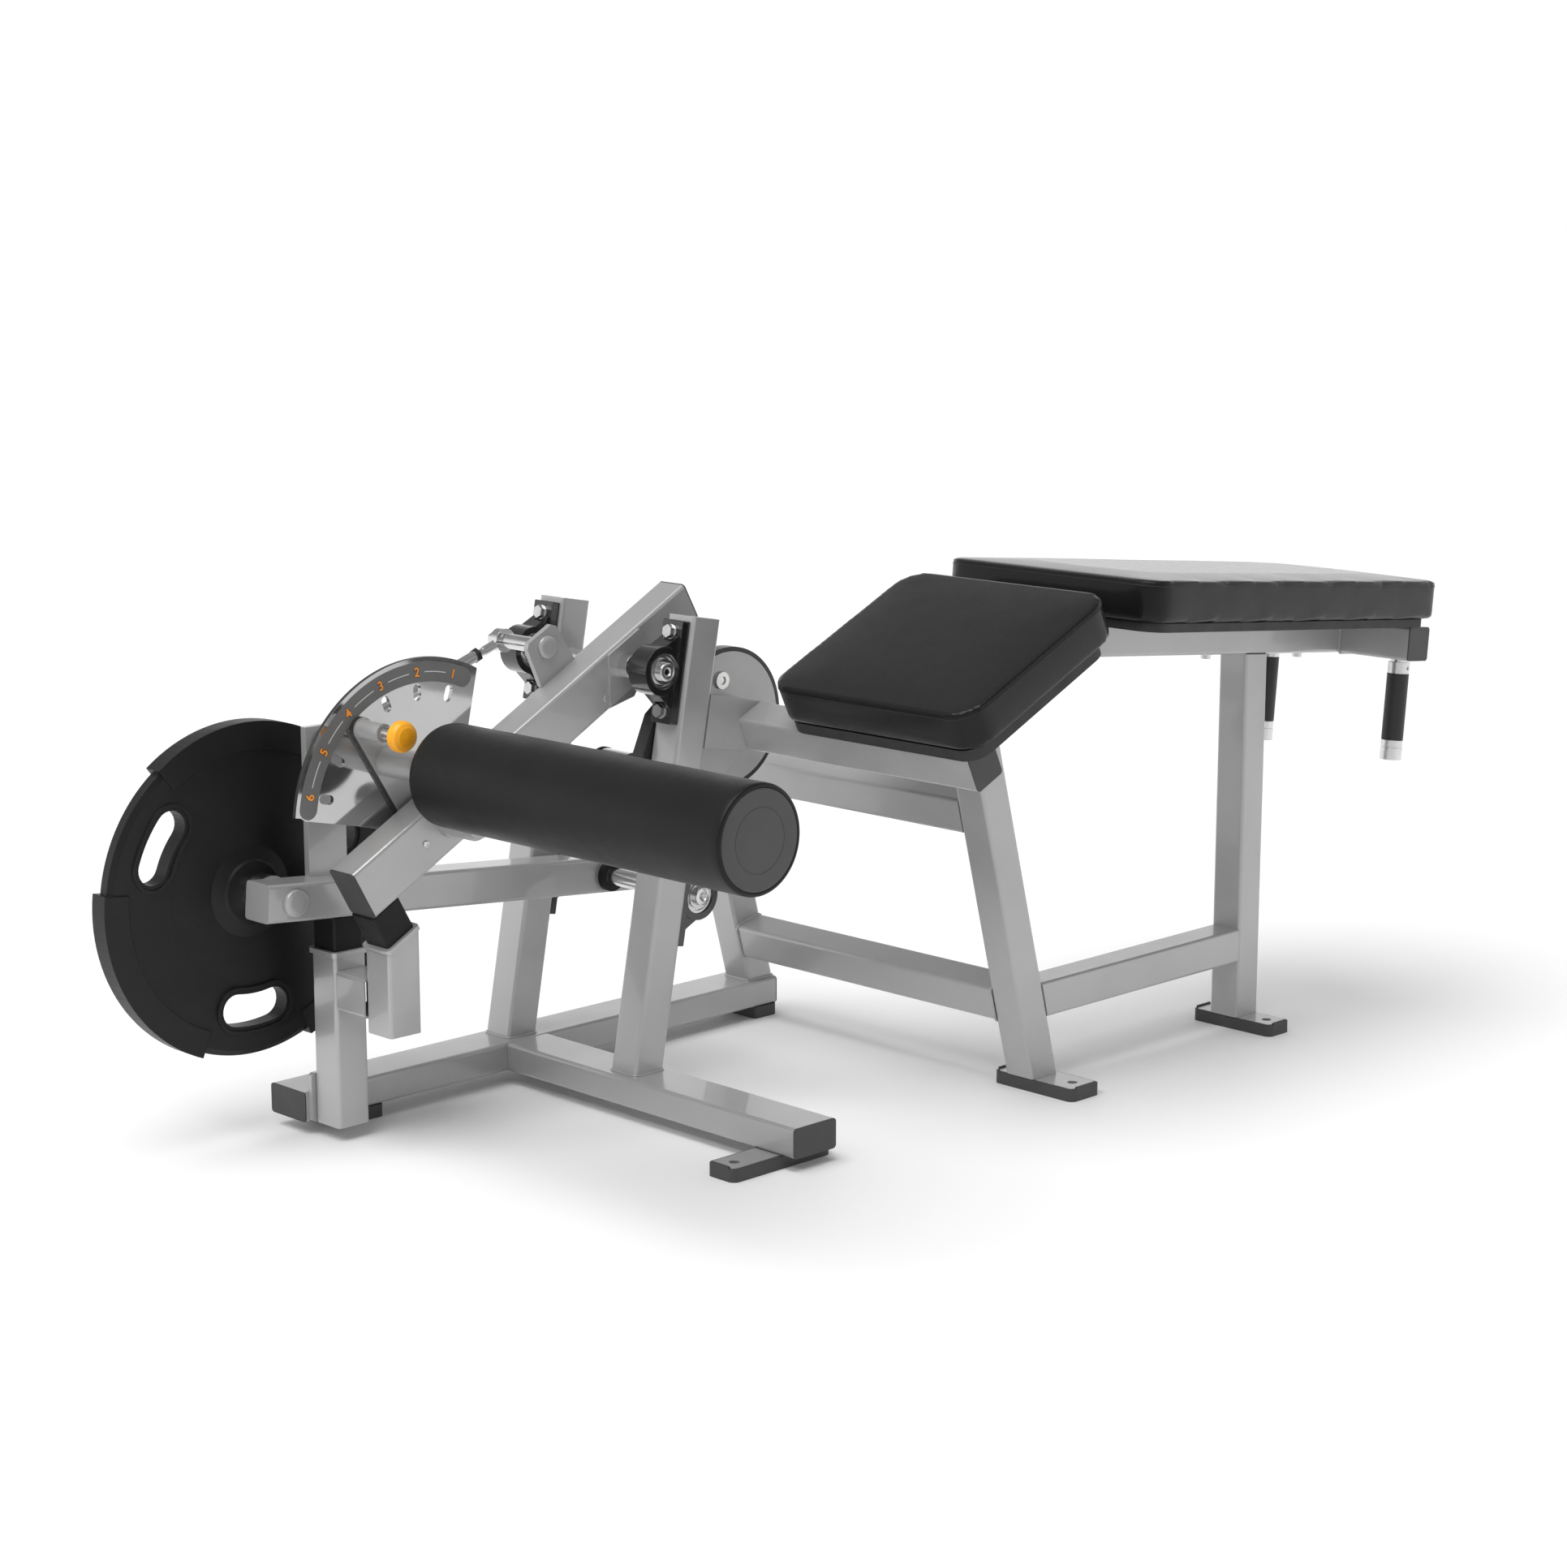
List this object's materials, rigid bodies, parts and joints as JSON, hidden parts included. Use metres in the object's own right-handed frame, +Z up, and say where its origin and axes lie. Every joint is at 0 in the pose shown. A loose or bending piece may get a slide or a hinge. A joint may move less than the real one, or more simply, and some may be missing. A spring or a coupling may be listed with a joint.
{
  "type": "lying leg curl",
  "caption": "Plate-loaded lying leg curl: angled hip and torso pads, a pivoting lever with an adjustable foam roller, and a linked weight arm.",
  "frame": {"origin": "centre of the footprint, on the floor, under the whole machine", "axes": "+X runs from the weight plate end to the head end of the torso pad, +Y runs from the roller side to the weight plate side, +Z is up"},
  "size_m": [1.8386, 0.975, 0.72],
  "materials": {
    "frame_paint": "silver-grey clear-coated powder paint",
    "cap_plastic": "dark grey moulded plastic",
    "foot_rubber": "dark grey rubber",
    "bumper_rubber": "black rubber",
    "upholstery": "black fine-grained vinyl upholstery",
    "board": "black painted plywood",
    "roller_skin": "black closed-cell foam with a fine-grained skin",
    "roller_end": "grey moulded plastic",
    "bearing_black": "black painted cast iron",
    "steel": "turned and polished steel",
    "zinc": "zinc plated steel",
    "grip_rubber": "black rubber grip",
    "alu": "turned aluminium",
    "guard_black": "black moulded plastic",
    "knob_orange": "orange semi-gloss plastic",
    "dial_label": "dark grey printed label",
    "plate_black": "cast iron with a black urethane coat"
  },
  "bodies": {
    "frame": {"long_base_tube": "frame_paint", "cross_base_tube": "frame_paint", "near_upright": "frame_paint", "far_upright": "frame_paint", "near_leg": "frame_paint", "far_leg": "frame_paint", "head_leg": "frame_paint", "low_brace": "frame_paint", "upper_crossbeam": "frame_paint", "side_beam": "frame_paint", "hip_beam": "frame_paint", "hip_gusset": "frame_paint", "hip_tube": "frame_paint", "hip_rail": "frame_paint", "torso_beam": "frame_paint", "handle_beam": "frame_paint", "handle_posts": "steel", "handle_collars": "alu", "handle_grips": "grip_rubber", "handle_caps": "alu", "stop_post": "frame_paint", "lever_stop": "frame_paint", "stop_bumpers": "bumper_rubber", "foot_plates": "frame_paint", "rubber_feet": "foot_rubber", "tube_caps": "cap_plastic", "upper_bearings": "bearing_black", "lower_bearings": "bearing_black", "bearing_inserts": "steel", "bearing_bolts": "zinc", "guard_plate": "guard_black", "guard_face": "frame_paint", "guard_bolt": "zinc", "stop_bar": "steel", "stop_ring": "bumper_rubber", "hip_pad": "upholstery", "hip_board": "board", "torso_pad": "upholstery", "torso_board": "board", "pad_bolts": "zinc"},
    "lever_arm": {"lever_arm": "frame_paint", "lever_caps": "cap_plastic", "knee_shaft": "steel", "rod_bracket": "frame_paint", "rod_pin": "steel", "hub_tube": "frame_paint", "hub_bushing": "bumper_rubber", "dial_plate": "frame_paint", "dial_band": "dial_label"},
    "swing_arm": {"swing_plate": "frame_paint", "roller_axle": "frame_paint"},
    "pull_pin": {"plunger": "steel", "knob": "knob_orange"},
    "roller": {"roller_foam": "roller_skin", "roller_ends": "roller_end"},
    "weight_arm": {"weight_arm": "frame_paint", "lower_shaft": "steel", "plate_horn": "steel"},
    "connecting_rod": {"connecting_rod": "zinc"},
    "weight_plate": {"weight_plate": "plate_black"}
  },
  "joints": [
    {"name": "knee_pivot", "type": "hinge", "parent": "frame", "child": "lever_arm", "pos_m": [-0.2265, 0.1575, 0.5955], "axis": [0, 1, 0], "range_deg": [0, 94]},
    {"name": "weight_arm_pivot", "type": "hinge", "parent": "frame", "child": "weight_arm", "pos_m": [-0.1645, 0.2645, 0.283], "axis": [0, 1, 0], "range_deg": [-0.1, 22.2]},
    {"name": "rod_pivot", "type": "hinge", "parent": "lever_arm", "child": "connecting_rod", "pos_m": [-0.32943, 0.2645, 0.62648], "axis": [0, 1, 0], "range_deg": [-78.3, 0.1]},
    {"name": "start_angle_swing", "type": "hinge", "parent": "lever_arm", "child": "swing_arm", "pos_m": [-0.523, 0.1925, 0.43115], "axis": [0, 1, 0], "range_deg": [-37.58, 56.37]},
    {"name": "pin_pull", "type": "slide", "parent": "swing_arm", "child": "pull_pin", "axis": [0, -1, 0], "range_m": [0, 0.014], "stiffness_N_per_m": 700, "springref_m": -0.01},
    {"name": "roller_spin", "type": "hinge", "parent": "swing_arm", "child": "roller", "pos_m": [-0.58297, -0.2075, 0.50521], "axis": [0, 1, 0], "continuous": true},
    {"name": "plate_slide", "type": "slide", "parent": "weight_arm", "child": "weight_plate", "axis": [0, 1, 0], "range_m": [0, 0.165]}
  ],
  "couplings": [
    {"joint": "weight_arm_pivot", "follows": "knee_pivot", "ratio": 0.23447},
    {"joint": "rod_pivot", "follows": "knee_pivot", "ratio": -0.83085}
  ]
}
